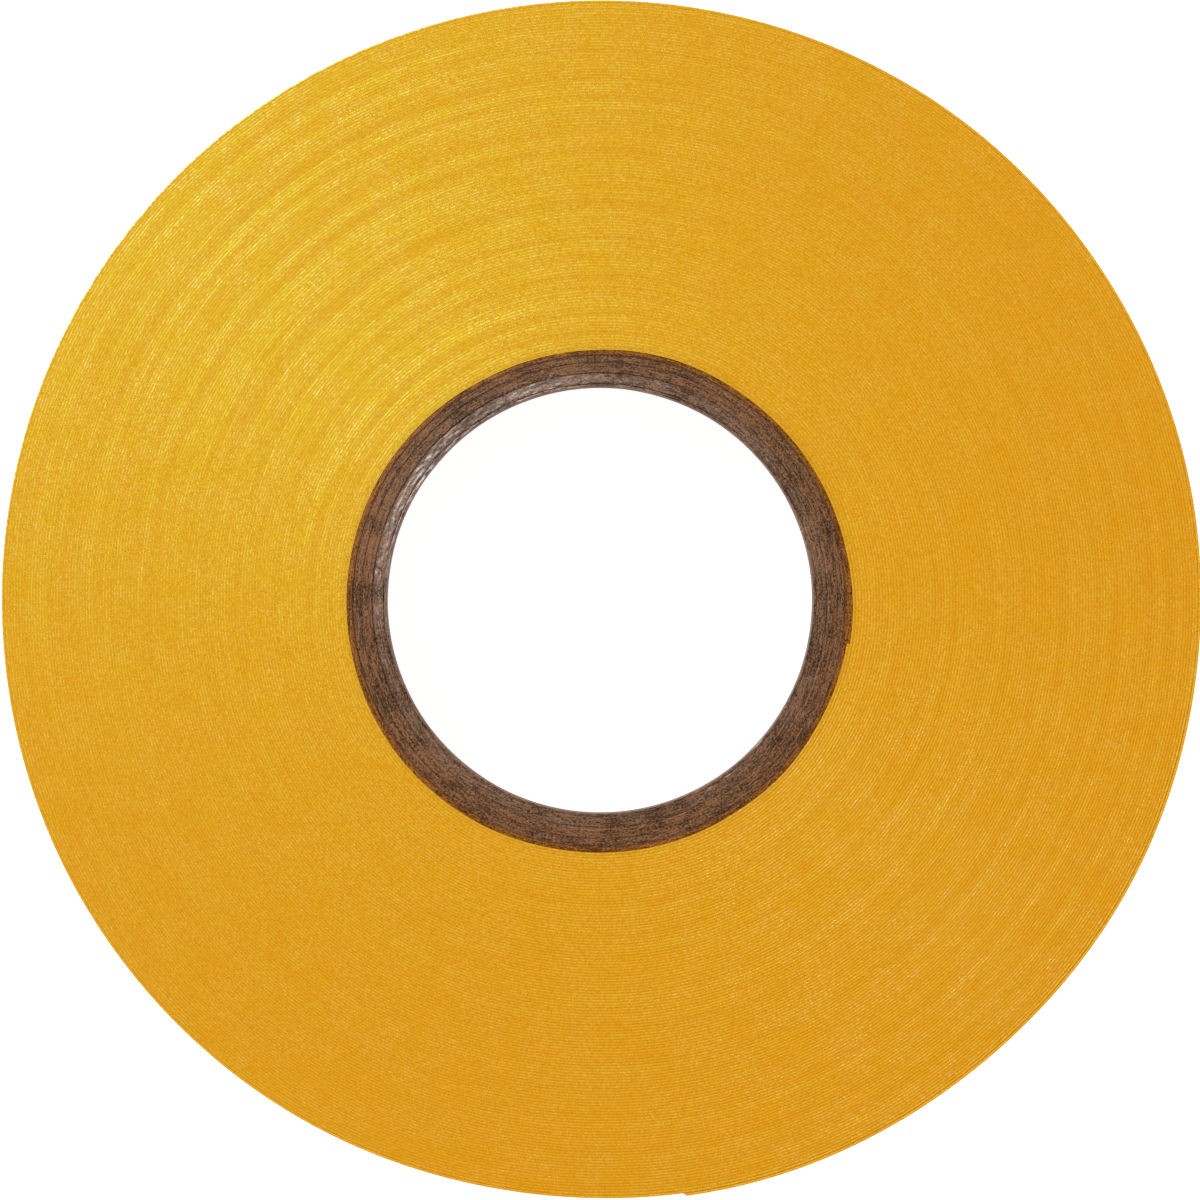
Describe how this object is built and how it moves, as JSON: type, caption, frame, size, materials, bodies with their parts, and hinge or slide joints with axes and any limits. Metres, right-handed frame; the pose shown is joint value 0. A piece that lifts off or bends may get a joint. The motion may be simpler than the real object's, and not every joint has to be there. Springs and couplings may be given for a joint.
{
  "type": "electrical tape roll",
  "caption": "Flat round roll of yellow vinyl insulating tape wound on an open paperboard core, with a free end that peels off the outside.",
  "frame": {"origin": "on the axis of the core's hole, in the side face that the roll rests on", "axes": "+Z along the roll's axis, from the resting face to the other side face; +X and +Y in the plane of that face"},
  "size_m": [0.0741, 0.074, 0.0191],
  "materials": {
    "vinyl_film": "glossy calendered PVC on the face, matt where the edge is slit",
    "adhesive": "tacky, slightly darker than the film",
    "core_lining": "smooth machine-finished kraft paper",
    "core_board": "matt recycled paperboard, cut edge",
    "core_wrap": "reddish-brown kraft paper, cut edge"
  },
  "bodies": {
    "roll": {"core_inner_liner": "core_lining", "core_inner_ply": "core_board", "core_middle_ply": "core_board", "core_outer_ply": "core_board", "core_outer_liner": "core_wrap", "tape_film": "vinyl_film", "tape_adhesive": "adhesive", "outer_wrap_film": "vinyl_film", "outer_wrap_adhesive": "adhesive"},
    "tail_1": {"tail_film_1": "vinyl_film", "tail_adhesive_1": "adhesive"},
    "tail_2": {"tail_film_2": "vinyl_film", "tail_adhesive_2": "adhesive"},
    "tail_3": {"tail_film_3": "vinyl_film", "tail_adhesive_3": "adhesive"},
    "tail_4": {"tail_film_4": "vinyl_film", "tail_adhesive_4": "adhesive"},
    "tail_5": {"tail_film_5": "vinyl_film", "tail_adhesive_5": "adhesive"},
    "tail_6": {"tail_film_6": "vinyl_film", "tail_adhesive_6": "adhesive"}
  },
  "joints": [
    {"name": "tail_peel", "type": "hinge", "parent": "roll", "child": "tail_1", "pos_m": [0.03657, -0.00645, 0.00953], "axis": [0, 0, 1], "range_deg": [0, 120]},
    {"name": "tail_flatten_2", "type": "hinge", "parent": "tail_1", "child": "tail_2", "pos_m": [0.03443, -0.01391, 0.00953], "axis": [0, 0, 1], "range_deg": [0, 12]},
    {"name": "tail_flatten_3", "type": "hinge", "parent": "tail_2", "child": "tail_3", "pos_m": [0.03079, -0.02077, 0.00953], "axis": [0, 0, 1], "range_deg": [0, 12]},
    {"name": "tail_flatten_4", "type": "hinge", "parent": "tail_3", "child": "tail_4", "pos_m": [0.0258, -0.02671, 0.00953], "axis": [0, 0, 1], "range_deg": [0, 12]},
    {"name": "tail_flatten_5", "type": "hinge", "parent": "tail_4", "child": "tail_5", "pos_m": [0.01968, -0.03149, 0.00953], "axis": [0, 0, 1], "range_deg": [0, 12]},
    {"name": "tail_flatten_6", "type": "hinge", "parent": "tail_5", "child": "tail_6", "pos_m": [0.0127, -0.0349, 0.00953], "axis": [0, 0, 1], "range_deg": [0, 12]}
  ],
  "couplings": [
    {"joint": "tail_flatten_3", "follows": "tail_flatten_2", "ratio": 1},
    {"joint": "tail_flatten_4", "follows": "tail_flatten_2", "ratio": 1},
    {"joint": "tail_flatten_5", "follows": "tail_flatten_2", "ratio": 1},
    {"joint": "tail_flatten_6", "follows": "tail_flatten_2", "ratio": 1}
  ]
}
